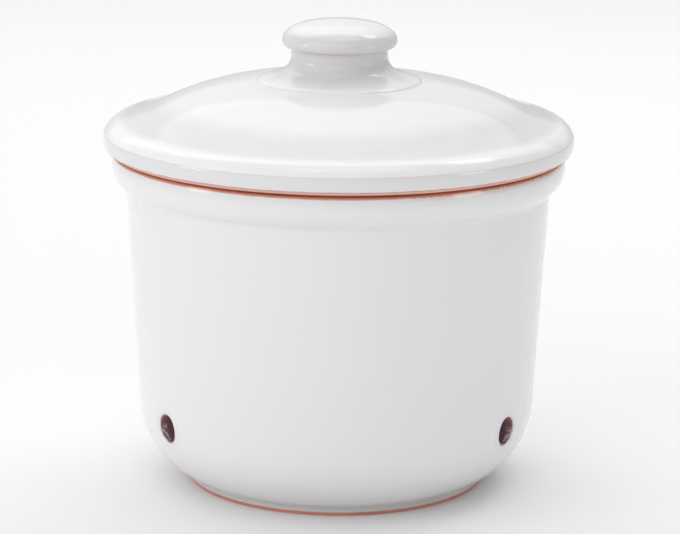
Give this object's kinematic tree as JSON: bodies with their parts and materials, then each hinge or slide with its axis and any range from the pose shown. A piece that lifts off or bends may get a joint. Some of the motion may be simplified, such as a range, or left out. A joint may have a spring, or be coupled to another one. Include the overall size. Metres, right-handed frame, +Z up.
{
  "type": "garlic keeper",
  "caption": "Squat glazed terracotta garlic keeper with a rolled collar, round vents low in its wall, and a loose domed lid with a mushroom knob.",
  "frame": {"origin": "centre of the pot's foot, in the plane it stands on", "axes": "+Z up the axis of the pot and its lid, -Y towards the front, +X to the right as seen from the front"},
  "size_m": [0.1502, 0.1502, 0.1494],
  "materials": {
    "terracotta": "bare fired earthenware, matt and slightly open",
    "glaze": "glossy opaque white glaze"
  },
  "bodies": {
    "pot": {"pot_body": "terracotta", "pot_glaze": "glaze"},
    "lid": {"lid_shell": "terracotta", "lid_knob": "terracotta", "lid_glaze": "glaze"}
  },
  "joints": [
    {"name": "lid_lift", "type": "slide", "parent": "pot", "child": "lid", "axis": [0, 0, 1], "range_m": [0, 0.13]}
  ]
}
